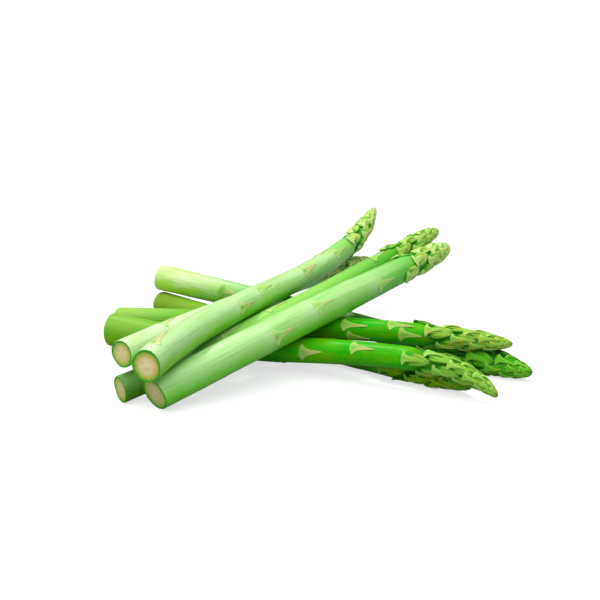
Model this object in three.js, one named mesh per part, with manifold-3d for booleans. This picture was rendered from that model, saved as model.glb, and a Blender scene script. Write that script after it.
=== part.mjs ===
// A loose bundle of eight fresh asparagus spears, lying in two crossing groups on a table.
//
// Millimetres, +Z up. The origin is on the table, under the middle of the bundle. Four spears
// lie low with their tips to the right, and four lie across them with their tips up and back.
// Each spear grew as one piece, so its stem, its scale leaves and its head are one solid.

import * as THREE from 'three';
import { mergeVertices } from 'three/addons/utils/BufferGeometryUtils.js';
import Module from 'manifold-3d';

const wasm = await Module();
wasm.setup();

// Each spear: the five control points of its centre line from the cut end to the tip, its
// radius at the cut end, half way and at the neck, and its head: how long it is, how far it
// swells, and how blunt (end) and how full (fill) its point is. Turns are in degrees: 0 faces
// right of the way the spear grows, and 90 faces up. The cut end leans from square by slant: by
// how many degrees, and the turn it leans towards. A leaf on the stem has its distance from the
// cut end and its turn. The head's own leaves follow a spiral that starts at headTurn.
const spears = [
  {
    name: 'spear_front',
    axis: [[-74.9, -88.5, 8.2], [-33, -67, 23.5], [6, -34, 33.5], [43, 3, 39.5], [79, 46.5, 43]],
    radius: [8.5, 8.0, 6.8],
    head: { length: 42, swell: 0.4, end: 3.4, fill: 0.55 },
    slant: [16, 10],
    leaves: [[22, 250], [64, 12], [79, 205], [93, 51], [112, 290], [125, 160], [137, 12],
      [146, 235], [151, 90], [157, 336]],
    headTurn: 27,
  },
  {
    name: 'spear_middle',
    axis: [[-92.7, -79, 6.6], [-44, -55, 19], [-1, -22, 31.5], [37, 17, 42.5], [74.5, 58.5, 50]],
    radius: [6.7, 6.0, 5.0],
    head: { length: 42, swell: 0.7, end: 3.2, fill: 0.6 },
    slant: [10, 50],
    leaves: [[28, 300], [56, 75], [72, 210], [86, 102], [105, 330], [122, 190], [138, 300],
      [150, 180], [161, 81], [170, 240], [179, 15]],
    headTurn: 190,
  },
  {
    name: 'spear_top',
    axis: [[-77.1, -97.3, 25.5], [-54, -59, 37.5], [-19, -11, 37.5], [21, 41, 29], [40, 101, 53]],
    radius: [7.9, 6.8, 5.9],
    head: { length: 56, swell: 0.8, end: 2.7, fill: 0.75 },
    slant: [15, 65],
    leaves: [[7, 93], [40, 220], [66, 21], [85, 60], [104, 200], [126, 48], [142, 190],
      [152, 120], [160, 48], [164, 309], [174, 180], [181, 315]],
    headTurn: 90,
  },
  {
    name: 'spear_back',
    axis: [[-90.9, -80.5, 25.4], [-63, -46, 28], [-33, -7.5, 29.5], [0, 36, 29], [38, 82, 26]],
    radius: [6.7, 5.7, 4.7],
    head: { length: 36, swell: 0.5, end: 2.0, fill: 0.75 },
    slant: [6, 60],
    leaves: [[27, 96], [60, 230], [90, 340], [112, 150], [130, 30], [146, 260], [158, 120],
      [166, 350]],
    headTurn: 18,
  },
  {
    name: 'spear_low_front',
    axis: [[-108, 3, 8.9], [-42, -26.5, 6], [19, -49.5, 14], [67, -67, 26.5], [90, -83, 4]],
    radius: [9.0, 7.1, 5.9],
    head: { length: 50, swell: 0.5, end: 2.6, fill: 0.7 },
    slant: [0, 0],
    leaves: [[44, 200], [78, 120], [100, 250], [113, 9], [127, 150], [140, 48], [149, 230],
      [157, 336], [163, 130]],
    headTurn: 15,
  },
  {
    name: 'spear_low_middle',
    axis: [[-106.5, 25.5, 6.7], [-58.5, 0, 15], [-8, -20, 20], [45.5, -34, 21], [103, -44, 17]],
    radius: [6.9, 6.2, 5.8],
    head: { length: 48, swell: 0.5, end: 3.0, fill: 0.7 },
    slant: [0, 0],
    leaves: [[30, 200], [66, 300], [96, 140], [116, 260], [134, 39], [137, 336], [148, 190],
      [158, 63], [164, 12], [170, 250]],
    headTurn: 270,
  },
  {
    name: 'spear_low_back',
    axis: [[-87, 60, 21], [-33, 33, 16.5], [18, 5, 13.5], [66, -23.5, 8.5], [112, -53.5, 5]],
    radius: [7.4, 6.6, 5.9],
    head: { length: 46, swell: 2.0, end: 3.6, fill: 0.62 },
    slant: [0, 0],
    leaves: [[43, 27], [80, 230], [110, 120], [134, 330], [150, 200], [163, 90], [172, 300],
      [179, 170]],
    headTurn: 322,
  },
  {
    name: 'spear_low_under',
    axis: [[-87, 57, 6.5], [-24, 3.5, 6.5], [24, -34, 5], [57, -56.5, 7], [79, -71, 4]],
    radius: [6.5, 6.1, 5.6],
    head: { length: 44, swell: 0.6, end: 2.4, fill: 0.7 },
    slant: [0, 0],
    leaves: [[40, 60], [80, 200], [108, 320], [128, 120], [144, 250], [154, 336], [160, 100]],
    headTurn: 345,
  },
];

// Stem and head
const stemSides = 12;
const stemRingStep = 17;
const headRingStep = 7;
const cutEdge = 0.5;          // the cut end's rim is rounded off by this much
const slantReach = 25;        // a slanted cut draws out the stem's end over this length
const budDepth = 1.9;         // how far the buds of the head stand out of its core
const tipGap = 1.2;           // the core stops this far short of the tip

// Scale leaves
const goldenAngle = 137.5;    // turn from one leaf to the next, in degrees
const headGrowth = 1.125;     // how much further from the tip each leaf of a head sits
const leafRise = 1.0;         // how far a leaf stands off a bare stem
const rootDepth = 1.4;        // how deep each leaf is sunk into the stem or core
const stemLeafLength = 14;
const tipLeafLength = 5.5;
const leafHalfWidth = 0.72;   // share of the spear's radius
const widestLeaf = 4.8;
const firstLeaf = 4;          // the leaf nearest the tip, measured from it
const neighbourGap = 0.35;    // a leaf pressed closer than this to another spear has worn off

// One scale leaf over its bud, seen from above: a broad base with a horn at each corner,
// drawn in to a long point. Each place is [share of its length, share of its half width,
// share of the height between core and outer face].
const leafOutline = {
  tip: [1.0, 0, 0.5],
  waist: [0.46, 0.58, 0.55],
  horn: [-0.05, 1.0, 0.6],
  base: [0.05, 0, 0.85],
};
const leafCrown = [0.36, 0, 1.0];
const leafRootAt = 0.36;

const tableSlab = { size: 400, depth: 20 };

// The centre line: a smooth curve drawn by five control points.
class SpearAxis extends THREE.Curve {
  constructor(points) {
    super();
    this.points = points.map((p) => new THREE.Vector3(...p));
  }

  getPoint(t, target = new THREE.Vector3()) {
    const weights = [1, 4, 6, 4, 1];
    target.set(0, 0, 0);
    this.points.forEach((point, i) => {
      target.addScaledVector(point, weights[i] * t ** i * (1 - t) ** (4 - i));
    });
    return target;
  }
}

function smooth(x) {
  const t = THREE.MathUtils.clamp(x, 0, 1);
  return t * t * (3 - 2 * t);
}

// Turns a spear's row of sizes into the functions that its pieces are drawn with.
function growSpear(spec) {
  const curve = new SpearAxis(spec.axis);
  const length = curve.getLength();
  const neckAt = length - spec.head.length;
  const [butt, middle, neck] = spec.radius;

  // The outer radius, over the buds of the head
  function outer(s) {
    if (s <= neckAt) {
      const u = s / neckAt;
      return butt * (1 - u) * (1 - 2 * u) + middle * 4 * u * (1 - u) + neck * u * (2 * u - 1);
    }
    const h = Math.min((s - neckAt) / spec.head.length, 1);
    const girth = neck + spec.head.swell * Math.sin(Math.PI * h ** 0.7);
    return girth * (1 - h ** spec.head.end) ** spec.head.fill;
  }

  // The radius of the stem, and of the core that the head's buds stand on
  function core(s) {
    const h = (s - neckAt) / spec.head.length;
    const wanted = outer(s) - budDepth * smooth(h / 0.2);
    return Math.max(wanted, 0.58 * outer(s));
  }

  // The height of the leaves' outer faces
  function cover(s) {
    const h = (s - neckAt) / spec.head.length;
    return outer(s) + leafRise * (1 - smooth(h / 0.3));
  }

  // A point at a distance along the centre line, a turn about it and a radius from it
  function place(s, turn, radius) {
    const u = THREE.MathUtils.clamp(s / length, 0, 1);
    const tangent = curve.getTangentAt(u);
    const side = new THREE.Vector3(tangent.y, -tangent.x, 0).normalize();
    const up = side.clone().cross(tangent);
    const point = curve.getPointAt(u).addScaledVector(tangent, s - u * length);
    point.addScaledVector(side, radius * Math.cos(turn));
    return point.addScaledVector(up, radius * Math.sin(turn));
  }

  return { ...spec, curve, length, neckAt, outer, core, cover, place };
}

// A closed solid from a geometry whose shared corners are merged first
function toSolid(geometry) {
  geometry.deleteAttribute('normal');
  geometry.deleteAttribute('uv');
  const merged = mergeVertices(geometry, 1e-4);
  return new wasm.Manifold(new wasm.Mesh({
    numProp: 3,
    vertProperties: new Float32Array(merged.attributes.position.array),
    triVerts: new Uint32Array(merged.index.array),
  }));
}

function toGeometry(solid) {
  const mesh = solid.getMesh();
  const geometry = new THREE.BufferGeometry();
  geometry.setAttribute('position', new THREE.BufferAttribute(mesh.vertProperties, 3));
  geometry.setIndex(new THREE.BufferAttribute(mesh.triVerts, 1));
  geometry.computeVertexNormals();
  return geometry;
}

// The stem with its cut end, and the core of the head: turned as a straight post, then bent
// along the centre line.
function stemSolid(spear) {
  const profile = [new THREE.Vector2(0, 0), new THREE.Vector2(spear.core(0) - cutEdge, 0)];
  const stemRings = Math.round(spear.neckAt / stemRingStep);
  for (let i = 0; i <= stemRings; i += 1) {
    const s = THREE.MathUtils.lerp(cutEdge, spear.neckAt, i / stemRings);
    profile.push(new THREE.Vector2(spear.core(s), s));
  }
  const coreEnd = spear.length - tipGap;
  const headRings = Math.round(spear.head.length / headRingStep);
  for (let i = 1; i < headRings; i += 1) {
    const s = THREE.MathUtils.lerp(spear.neckAt, coreEnd, i / headRings);
    profile.push(new THREE.Vector2(spear.core(s), s));
  }
  profile.push(new THREE.Vector2(0, coreEnd));

  const post = new THREE.LatheGeometry(profile, stemSides);
  const corners = post.attributes.position;
  const [tilt, towards] = spear.slant.map(THREE.MathUtils.degToRad);
  const lean = new THREE.Vector2(Math.cos(towards), Math.sin(towards));
  for (let i = 0; i < corners.count; i += 1) {
    const across = new THREE.Vector2(corners.getX(i), corners.getZ(i));
    const s = corners.getY(i);
    const cutBack = Math.tan(tilt) * across.dot(lean) * smooth(1 - s / slantReach);
    const point = spear.place(s + cutBack, across.angle(), across.length());
    corners.setXYZ(i, point.x, point.y, point.z);
  }
  return toSolid(post);
}

// How far a point is from the nearest other spear's outer face
function clearance(point, spear, others) {
  let nearest = Infinity;
  for (const other of others) {
    if (other === spear) continue;
    for (let s = 0; s <= other.length; s += 2) {
      const centre = other.curve.getPointAt(s / other.length);
      nearest = Math.min(nearest, centre.distanceTo(point) - other.cover(s));
    }
  }
  return nearest;
}

// The leaves of the stem where they stand, and those of the head in a spiral that closes up
// towards the tip
function leafPlaces(spear) {
  const places = spear.leaves.map(([s, turn]) => ({ fromTip: spear.length - s, turn }));
  let turn = spear.headTurn;
  for (let fromTip = spear.head.length; fromTip > firstLeaf; fromTip /= headGrowth) {
    places.push({ fromTip, turn });
    turn += goldenAngle;
  }
  return places;
}

// One leaf with its bud: a six-sided double cone drawn out to the leaf's outline and bent
// round the stem, with its lower point as the root.
function leafSolid(spear, { fromTip, turn }, others) {
  const facing = THREE.MathUtils.degToRad(turn);
  const base = spear.length - fromTip;
  const grown = smooth(fromTip / spear.head.length);
  const wanted = THREE.MathUtils.lerp(tipLeafLength, stemLeafLength, grown);
  const leafLength = Math.min(wanted, fromTip);
  const halfWidth = Math.min(leafHalfWidth * spear.outer(base), widestLeaf);

  function leafPoint([along, across, height]) {
    const s = base + along * leafLength;
    const radius = THREE.MathUtils.lerp(spear.core(s), spear.cover(s), height);
    return spear.place(s, facing - (across * halfWidth) / spear.outer(base), radius);
  }

  const mirrored = ([along, across, height]) => [along, -across, height];
  const { tip, waist, horn, base: baseEdge } = leafOutline;
  const rim = [tip, waist, horn, baseEdge, mirrored(horn), mirrored(waist)];
  const ends = rim.map(leafPoint);
  const crown = leafPoint(leafCrown);
  const rootAt = base + leafRootAt * leafLength;
  const rootRadius = Math.max(spear.core(rootAt) - rootDepth, 0.35 * spear.core(rootAt));
  const root = spear.place(rootAt, facing, rootRadius);

  const pressed = [crown, ...ends].some((p) => clearance(p, spear, others) < neighbourGap);
  if (pressed) return null;

  const cone = new THREE.SphereGeometry(1, rim.length, 2);
  const corners = cone.attributes.position;
  for (let i = 0; i < corners.count; i += 1) {
    const height = corners.getY(i);
    const step = Math.atan2(corners.getZ(i), corners.getX(i)) / ((2 * Math.PI) / rim.length);
    const end = ends[(Math.round(step) + rim.length) % rim.length];
    let point = end;
    if (height > 0.5) point = crown;
    if (height < -0.5) point = root;
    corners.setXYZ(i, point.x, point.y, point.z);
  }
  return toSolid(cone);
}

// Everything below the table top is cut away, so a spear lies on a small pressed flat.
function tableSolid() {
  const { size, depth } = tableSlab;
  return toSolid(new THREE.BoxGeometry(size, size, depth).translate(0, 0, -depth / 2));
}

function spearSolid(spear, others, table) {
  let solid = stemSolid(spear);
  for (const leafPlace of leafPlaces(spear)) {
    const leaf = leafSolid(spear, leafPlace, others);
    if (leaf) solid = solid.add(leaf);
  }
  return solid.subtract(table);
}

// Skin colours: the upper spears are paler, the lower ones a deeper green
const paleSkin = new THREE.MeshStandardMaterial({ color: '#a9d977', roughness: 0.42, metalness: 0 });
const deepSkin = new THREE.MeshStandardMaterial({ color: '#3f9a2c', roughness: 0.42, metalness: 0 });

const bundle = new THREE.Group();
const grown = spears.map(growSpear);
const table = tableSolid();
for (const spear of grown) {
  const skin = spear.name.startsWith('spear_low') ? deepSkin : paleSkin;
  const mesh = new THREE.Mesh(toGeometry(spearSolid(spear, grown, table)), skin.clone());
  mesh.name = spear.name;
  bundle.add(mesh);
}

export default bundle;
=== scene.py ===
"""A loose bundle of eight green asparagus spears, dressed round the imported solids.

Each spear is grown in three pieces: the stem with its cut end, the buds of its head, and its
scale leaves. Sizes of the spears are in millimetres and distances run from the cut end.
"""

import math
import random

import bmesh
import bpy
from bpy.props import FloatProperty, FloatVectorProperty, IntProperty, PointerProperty
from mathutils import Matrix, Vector, noise


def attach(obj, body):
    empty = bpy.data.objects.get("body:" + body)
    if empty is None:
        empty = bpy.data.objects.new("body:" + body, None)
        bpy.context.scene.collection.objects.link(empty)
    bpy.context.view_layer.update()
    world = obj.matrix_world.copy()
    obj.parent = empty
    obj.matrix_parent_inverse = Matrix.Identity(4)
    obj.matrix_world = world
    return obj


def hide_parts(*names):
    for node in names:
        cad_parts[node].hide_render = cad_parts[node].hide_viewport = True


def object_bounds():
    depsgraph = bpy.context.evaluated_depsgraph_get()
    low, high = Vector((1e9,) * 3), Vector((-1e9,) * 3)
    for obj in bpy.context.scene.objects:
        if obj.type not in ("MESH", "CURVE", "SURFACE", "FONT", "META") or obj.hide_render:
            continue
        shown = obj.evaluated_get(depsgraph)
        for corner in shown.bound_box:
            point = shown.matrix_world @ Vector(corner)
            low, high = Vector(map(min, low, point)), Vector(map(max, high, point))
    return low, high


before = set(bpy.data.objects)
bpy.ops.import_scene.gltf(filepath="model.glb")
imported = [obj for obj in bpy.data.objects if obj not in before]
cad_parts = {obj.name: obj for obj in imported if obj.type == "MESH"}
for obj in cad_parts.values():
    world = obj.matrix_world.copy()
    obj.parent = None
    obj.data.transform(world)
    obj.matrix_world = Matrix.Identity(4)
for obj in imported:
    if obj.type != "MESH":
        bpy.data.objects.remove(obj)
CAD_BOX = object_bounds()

bl_info = {
    "name": "Asparagus Bundle",
    "version": (1, 0, 0),
    "blender": (4, 5, 0),
    "location": "3D View > Sidebar > Asparagus",
    "description": "Grows a loose bundle of eight green asparagus spears",
    "category": "Add Mesh",
}

MM = 0.001
BODY = "root"
GOLDEN_ANGLE = math.radians(137.5)

# Steps that a centre line is measured in, and the share of it that its direction is read over.
ARC_STEPS = 400
TANGENT_STEP = 1e-3

# The slant of a cut end dies out over this distance, the skin closes this far from the tip, and
# a cut face is drawn in this many steps.
SLANT_REACH = 25
TIP_GAP = 0.6
CUT_RINGS = 15

# A head swells most before its middle. Its core sinks behind the buds over a share of its
# length, and is never thinner than a share of the head.
SWELL_POWER = 0.7
CORE_SINK = 0.2
CORE_SHARE = 0.58

# Waves round a stem, as their number and height, how they twist along it, how many fine ridges
# it has, and the height of its slow unevenness.
LOBES = ((2, 1), (3, 0.8), (5, 0.4))
LOBE_TWIST = 0.004
RIDGES = 22
UNEVEN_HEIGHT = 0.1

# A node swells the stem below its leaf: slowly over the first distance, and gone again within
# the second. Its width is a share of the leaf's, and no leaf further off than the reach counts.
# Nodes that meet add up to no more than the limit.
NODE_RISE = 8
NODE_FALL = 1.4
NODE_WIDTH = 1.3
NODE_REACH = (-4, 30)
NODE_LIMIT = 1.2

# How much leaves differ from one another, as the least and the most of each measure.
LENGTH_SPREAD = (0.92, 1.1)
WIDTH_SPREAD = (0.92, 1.08)
HEAD_DRYNESS = (0.0, 0.35)
STEM_DRYNESS = (0.1, 0.8)
TILT_SPREAD = (-0.15, 0.15)

# A stem leaf keeps this far from the spiral, and a leaf is no longer than this share of the way
# to the tip.
SPIRAL_GAP = 2
TIP_SHARE = 0.92

# A leaf's base bows by a share of its length, and its corners stand out over a share of it, and
# less so on the stem. Its full length is divided by the trim.
LEAF_TRIM = 1.001
BASE_BOW = 0.13
HORN_REACH = 0.12
STEM_HORN = 0.45

# A head leaf stands off its bud, and its base stands out further, over a share of its length.
LEAF_LIFT = 0.15
BASE_RISE = 0.35
BASE_REACH = 0.3

# A stem leaf's eye is a small bump over the bud that sleeps under it: its height, its place and
# its size, as shares of the leaf's length and half width.
EYE_HEIGHT = 0.25
EYE_PLACE = 0.14
EYE_SIZE = (0.07, 0.25)

# The fullness of a leaf's waist far from the tip and near it, how near that is, and from where
# on the corners of the leaves grow smaller towards the tip.
WAISTS = (0.46, 0.75)
WAIST_REACH = 20
SMALL_REACH = 25

# A leaf is held against the other spears this far outside its own.
PRESSED_LIFT = 0.5

# A head has no buds this near its tip. Petals shorter than the least are left out. The side
# petals start further on, and are shorter, turned aside and sunk behind the middle one.
BUD_TIP_GAP = 5
LEAST_PETAL = 1.5
SIDE_START = (0.16, 0.3)
SIDE_LENGTH = (0.72, 0.86)
SIDE_TURN = (0.5, 0.62)
SIDE_SINK = (0.6, 1.4)
PETAL_SINK = 0.14
MIDDLE_WIDTH = 0.72
SIDE_WIDTH = 0.6
PETAL_TUCK = 0.3
PETAL_DRYNESS = 0.3

# Shares of a spear's length: where the butt's colour and its wax and painted sheen end, where the
# neck's colour starts and is full, and from where on the wax and painted sheen grow thin towards
# the tip.
BUTT_END = 0.35
BUTT_WAX_AND_SHEEN_END = 0.3
NECK_START = 0.5
NECK_FULL = 0.85
WAX_AND_SHEEN_THINS = 0.55

# The ways to the two lamps.
KEY_TOWARDS = (-0.15, -0.3, 0.94)
STRIP_TOWARDS = (-0.2, 0.48, 0.85)

# Each row is one spear. Its axis is the control points of its centre line, and its radius is
# given at the cut end, half way and at the neck. Its head is a length, a swell, and how blunt
# and how full the point is. Its leaves are those of the stem, as distance and turn, and its
# spiral is where the leaves of the head start from the tip, how they close up, and the first
# turn. Turn 0 faces right of the way the spear grows, and 90 faces up. Its slant is how far the
# cut end leans from square and the turn it leans towards, in degrees. Its skin is three
# colours: of the butt, the middle and the neck. Its look is how much wax it carries, and with it
# how much painted sheen on its upper side, how green and how yellow-brown its head is, and how
# green its pith is.
SPEARS = (
    {
        "name": "spear_front",
        "axis": ((-74.9, -88.5, 8.2), (-33, -67, 23.5), (6, -34, 33.5), (43, 3, 39.5), (79, 46.5, 43)),
        "radius": (8.5, 8.0, 6.8),
        "head": (42, 0.4, 3.4, 0.55),
        "leaves": ((22, 250), (64, 12), (79, 205), (93, 51), (112, 290), (125, 160), (137, 12),
                   (146, 235)),
        "spiral": (50, 1.075, 348),
        "slant": (16, 10),
        "slot": "skin_pale",
        "skin": ((0.20, 0.58, 0.10), (0.20, 0.59, 0.06), (0.06, 0.50, 0.006)),
        "look": (0.8, 0.1, 0.15, 0.75),
    },
    {
        "name": "spear_middle",
        "axis": ((-92.7, -79, 6.6), (-44, -55, 19), (-1, -22, 31.5), (37, 17, 42.5), (74.5, 58.5, 50)),
        "radius": (6.7, 6.0, 5.0),
        "head": (42, 0.7, 3.2, 0.6),
        "leaves": ((28, 300), (56, 75), (72, 210), (86, 102), (105, 330), (122, 190), (138, 300),
                   (150, 180), (161, 81)),
        "spiral": (53.5, 1.072, 335),
        "slant": (10, 50),
        "slot": "skin_pale",
        # Painted shade: the butt's colour is nearly black green, for the shade of the spears above it.
        "skin": ((0.012, 0.22, 0.001), (0.19, 0.56, 0.06), (0.03, 0.40, 0.004)),
        "look": (0.25, 0.3, 0.3, 0.8),
    },
    {
        "name": "spear_top",
        "axis": ((-77.1, -97.3, 25.5), (-54, -59, 37.5), (-19, -11, 37.5), (21, 41, 29), (40, 101, 53)),
        "radius": (7.9, 6.8, 5.9),
        "head": (56, 0.8, 2.7, 0.75),
        "leaves": ((7, 93), (40, 220), (66, 21), (85, 60), (104, 200), (126, 48), (142, 190), (152, 120),
                   (160, 48), (164, 309), (174, 180)),
        "spiral": (57, 1.07, 275),
        "slant": (15, 65),
        "slot": "skin_pale",
        "skin": ((0.34, 0.60, 0.20), (0.25, 0.59, 0.07), (0.14, 0.56, 0.02)),
        "look": (0.9, 0.0, 0.15, 0.0),
    },
    {
        "name": "spear_back",
        "axis": ((-90.9, -80.5, 25.4), (-63, -46, 28), (-33, -7.5, 29.5), (0, 36, 29), (38, 82, 26)),
        "radius": (6.7, 5.7, 4.7),
        "head": (36, 0.5, 2.0, 0.75),
        "leaves": ((27, 96), (60, 230), (90, 340), (112, 150), (130, 30), (146, 260)),
        "spiral": (53, 1.08, 18),
        "slant": (6, 60),
        "slot": "skin_pale",
        "skin": ((0.62, 0.80, 0.42), (0.55, 0.78, 0.34), (0.14, 0.45, 0.04)),
        "look": (1.0, 0.2, 0.4, 0.4),
    },
    {
        "name": "spear_low_front",
        "axis": ((-108, 3, 8.9), (-42, -26.5, 6), (19, -49.5, 14), (67, -67, 26.5), (90, -83, 4)),
        "radius": (9.0, 7.1, 5.9),
        "head": (50, 0.5, 2.6, 0.7),
        "leaves": ((44, 200), (78, 120), (100, 250), (113, 9), (127, 150), (140, 48), (149, 230)),
        "spiral": (51.6, 1.075, 20),
        "slant": (0, 0),
        "slot": "skin_deep",
        "skin": ((0.14, 0.40, 0.015), (0.008, 0.38, 0.0005), (0.02, 0.40, 0.001)),
        "look": (0.0, 0.66, 0.35, 0.5),
    },
    {
        "name": "spear_low_middle",
        "axis": ((-106.5, 25.5, 6.7), (-58.5, 0, 15), (-8, -20, 20), (45.5, -34, 21), (103, -44, 17)),
        "radius": (6.9, 6.2, 5.8),
        "head": (48, 0.5, 3.0, 0.7),
        "leaves": ((30, 200), (66, 300), (96, 140), (116, 260), (134, 39), (137, 336), (148, 190),
                   (158, 63), (164, 12)),
        "spiral": (52.2, 1.072, 130),
        "slant": (0, 0),
        "slot": "skin_deep",
        "skin": ((0.28, 0.50, 0.08), (0.003, 0.38, 0.0004), (0.010, 0.38, 0.001)),
        "look": (0.0, 0.6, 0.8, 0.5),
    },
    {
        "name": "spear_low_back",
        "axis": ((-87, 60, 21), (-33, 33, 16.5), (18, 5, 13.5), (66, -23.5, 8.5), (112, -53.5, 5)),
        "radius": (7.4, 6.6, 5.9),
        "head": (46, 2.0, 3.6, 0.62),
        "leaves": ((43, 27), (80, 230), (110, 120), (134, 330), (150, 200), (163, 90), (172, 300)),
        "spiral": (50.5, 1.075, 57),
        "slant": (0, 0),
        "slot": "skin_deep",
        "skin": ((0.68, 0.80, 0.42), (0.02, 0.38, 0.001), (0.02, 0.38, 0.001)),
        "look": (0.25, 0.95, 0.05, 0.5),
    },
    {
        "name": "spear_low_under",
        "axis": ((-87, 57, 6.5), (-24, 3.5, 6.5), (24, -34, 5), (57, -56.5, 7), (79, -71, 4)),
        "radius": (6.5, 6.1, 5.6),
        "head": (44, 0.6, 2.4, 0.7),
        "leaves": ((40, 60), (80, 200), (108, 320), (128, 120), (144, 250)),
        "spiral": (58, 1.07, 90),
        "slant": (0, 0),
        "slot": "skin_deep",
        "skin": ((0.20, 0.36, 0.01), (0.05, 0.34, 0.002), (0.05, 0.34, 0.002)),
        "look": (0.0, 1.0, 0.75, 0.5),
    },
)


def length_setting(name, description, millimetres):
    """A setting that is a length."""
    return FloatProperty(name=name, description=description, default=millimetres * MM,
                         unit="LENGTH", precision=5)


def share_setting(name, description, default):
    """A setting that is a share of another size."""
    return FloatProperty(name=name, description=description, default=default, min=0.2, max=2)


def angle_setting(name, description, degrees):
    """A setting that is an angle."""
    return FloatProperty(name=name, description=description, default=math.radians(degrees),
                         subtype="ANGLE")


def colour_setting(name, description, *default):
    """A setting that is a colour."""
    return FloatVectorProperty(name=name, description=description, default=default,
                               subtype="COLOR", size=3, min=0, max=1)


class StemSettings(bpy.types.PropertyGroup):
    """Sizes of the stems and their cut ends."""

    sides: IntProperty(name="Sides", description="Corners round each stem", default=96, min=12)
    ring_step: length_setting("Ring step", "Distance between the rings of a stem", 1.6)
    lobe_depth: length_setting("Lobe depth", "Height of the broad flats round a stem", 0.1)
    ridge_depth: length_setting("Ridge depth", "Height of the fine lengthwise ridges", 0.03)
    node_swell: length_setting("Node swell", "How far a stem swells below a leaf", 0.4)
    cut_edge: length_setting("Cut edge", "Rounding of the rim of a cut end", 0.35)
    cut_dish: length_setting("Cut dish", "How far the pith has dried back from the rim", 0.45)
    cut_rough: length_setting("Cut roughness", "Height of the torn fibres on a cut end", 0.16)


class LeafSettings(bpy.types.PropertyGroup):
    """Sizes of the scale leaves and of the buds behind them."""

    stem_length: length_setting("Leaf length", "Length of a leaf on the stem", 13.5)
    head_length: length_setting("Head leaf length", "Length of a leaf of the head", 9.0)
    stem_share: share_setting(
        "Leaf width on the stem", "Half of a leaf's width, as a share of the stem's radius", 0.7)
    head_share: share_setting(
        "Leaf width in the head", "Half of a leaf's width, as a share of the head's radius", 0.6)
    bud_share: share_setting("Bud width", "Half of a bud's width, as a share of its leaf's", 1.22)
    bud_reach: share_setting("Bud reach", "Length of a bud, as a share of its leaf's", 1.6)
    bud_depth: length_setting("Bud depth", "How far the buds of the head stand out of its core", 2.1)
    bud_rise: length_setting("Bud rise", "How far the lowest buds stand out of the stem", 1.5)
    thickness: length_setting("Thickness", "Thickness of a leaf", 0.3)
    stem_rise: length_setting("Rise on the stem", "How far a leaf stands off a bare stem", 0.14)
    horn_lift: length_setting("Horn lift", "How far the corners of a leaf's base stand out", 0.9)
    first_leaf: length_setting("First leaf", "Distance of the last leaf of the spiral from the tip", 3.4)
    neighbour_gap: length_setting(
        "Neighbour gap", "A leaf or bud nearer than this to another spear's skin is worn off. "
        "Below 0 it may be pressed in", -1.5)


class ColourSettings(bpy.types.PropertyGroup):
    """Colours that all the spears are mixed from."""

    # Painted shade: the first colour darkens the head's core between its buds, and also marks the eye dot
    # of a stem leaf; the second is the painted shade in the crevices of the palest head.
    hollow: colour_setting("Hollow", "Core of the head between its buds", 0.002, 0.12, 0.0005)
    shade_green: colour_setting("Shade green", "Crevices of the palest head", 0.05, 0.38, 0.006)
    pale_scale: colour_setting("Pale scale", "Scale leaves of the palest head", 0.62, 0.76, 0.26)
    deep_scale: colour_setting("Deep scale", "Scale leaves of the greenest head", 0.10, 0.47, 0.004)
    pale_bud: colour_setting("Pale bud", "Buds of the palest head", 0.46, 0.72, 0.12)
    deep_bud: colour_setting("Deep bud", "Buds of the greenest head", 0.05, 0.46, 0.001)
    ochre: colour_setting("Ochre", "Yellow-brown flush of the heads", 0.48, 0.47, 0.008)
    dry: colour_setting("Dry point", "Dry points of the scale leaves", 0.60, 0.50, 0.26)
    blush: colour_setting("Blush", "Pink flush on some dry points", 0.70, 0.42, 0.22)
    cut_rim: colour_setting("Cut rim", "Skin round a cut end", 0.02, 0.36, 0.0003)
    cut_band: colour_setting("Cut band", "Flesh just inside the skin", 0.42, 0.52, 0.05)
    pith: colour_setting("Pith", "Middle of a cut end", 0.86, 0.73, 0.37)
    strand: colour_setting("Strands", "Ends of the fibres in the pith", 0.40, 0.42, 0.12)
    stain: colour_setting("Stain", "Tan patches of the drying pith", 0.60, 0.42, 0.12)
    unripe: colour_setting("Unripe", "Tint of the greenest pith", 0.36, 0.46, 0.11)
    # Besides real wax, this colour is laid as a painted sheen on the upper side of the skin.
    wax_and_sheen: colour_setting("Wax and sheen", "Wax on the skin and round the leaves", 0.62, 0.80, 0.46)
    bruise: colour_setting("Bruise", "Brown marks on the skin", 0.30, 0.17, 0.03)
    floor: colour_setting("Floor", "Surface that the bundle lies on", 0.42, 0.42, 0.42)


class StageSettings(bpy.types.PropertyGroup):
    """The camera, the lights and the floor."""

    target: FloatVectorProperty(
        name="Target", description="Point that the camera looks at", subtype="TRANSLATION",
        size=3, default=(-5.5 * MM, 20 * MM, 20 * MM))
    distance: FloatProperty(
        name="Distance", description="Distance of the camera from its target",
        default=0.7, unit="LENGTH")
    elevation: angle_setting("Elevation", "Height of the camera above the horizon", 18)
    lens: FloatProperty(
        name="Lens", description="Focal length on a sensor 36 mm wide", default=75.6)
    sky: FloatProperty(
        name="Sky", description="Strength of the even light from all round", default=0.36)
    key: FloatProperty(
        name="Key", description="Strength of the broad soft light above", default=2.9)
    key_spread: angle_setting("Key spread", "Angle that the broad light fills", 85)
    strip: FloatProperty(
        name="Strip", description="Strength of the narrow light behind, which draws the streaks",
        default=1.2)
    strip_spread: angle_setting("Strip spread", "Angle that the narrow light fills", 10)
    table_glow: FloatProperty(
        name="Table glow", description="How much the white table is lifted for the camera",
        default=0.66)
    floor_size: FloatProperty(
        name="Floor size", description="Side of the floor", default=12.0, unit="LENGTH")


def smooth(x):
    """An even step from 0 to 1."""
    t = min(max(x, 0.0), 1.0)
    return t * t * (3 - 2 * t)


def mix(a, b, share):
    return a + (b - a) * share


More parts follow.
